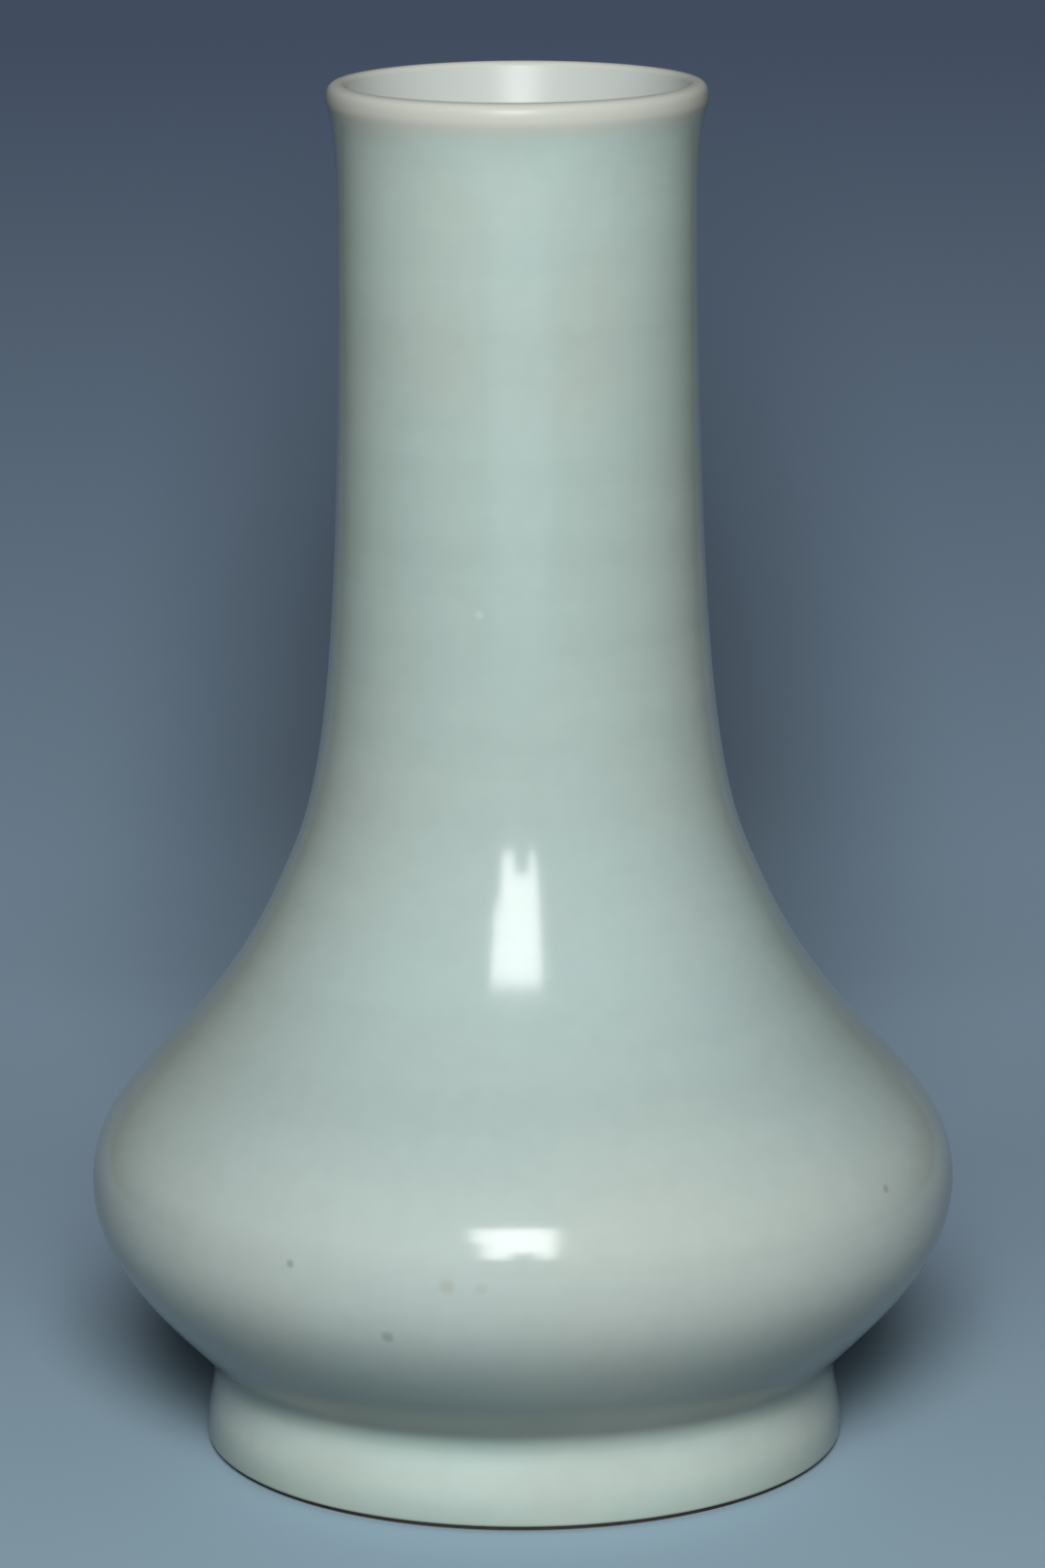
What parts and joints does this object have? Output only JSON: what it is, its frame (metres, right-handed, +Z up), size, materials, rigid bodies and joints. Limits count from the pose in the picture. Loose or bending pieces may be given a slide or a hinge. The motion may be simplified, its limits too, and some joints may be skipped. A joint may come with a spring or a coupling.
{
  "type": "bottle vase",
  "caption": "Glazed stoneware bottle vase: straight tall neck with a small flared lip, sloping shoulder, squat round belly, low wide foot ring.",
  "frame": {"origin": "the middle of the circle that the foot ring's bearing edge stands on", "axes": "+Z up along the vase's own axis; +X to the right and -Y towards the viewer of the picture"},
  "size_m": [0.1576, 0.1576, 0.25],
  "materials": {
    "glaze": "pale blue-green celadon glaze, glossy",
    "inner_glaze": "the same glaze, thinner and warmer, glossy",
    "clay": "fired pale grey stoneware under the glaze",
    "slip": "fired luting slip in the joins",
    "foot_clay": "bare fired clay, wiped clean, flashed brown"
  },
  "bodies": {
    "root": {"foot_ring": "foot_clay", "foot_slip": "slip", "lower_body": "clay", "belly_slip": "slip", "shoulder": "clay", "neck_slip": "slip", "neck": "clay", "outer_glaze": "glaze", "inner_glaze": "inner_glaze", "foot_well_glaze": "glaze"}
  },
  "joints": []
}
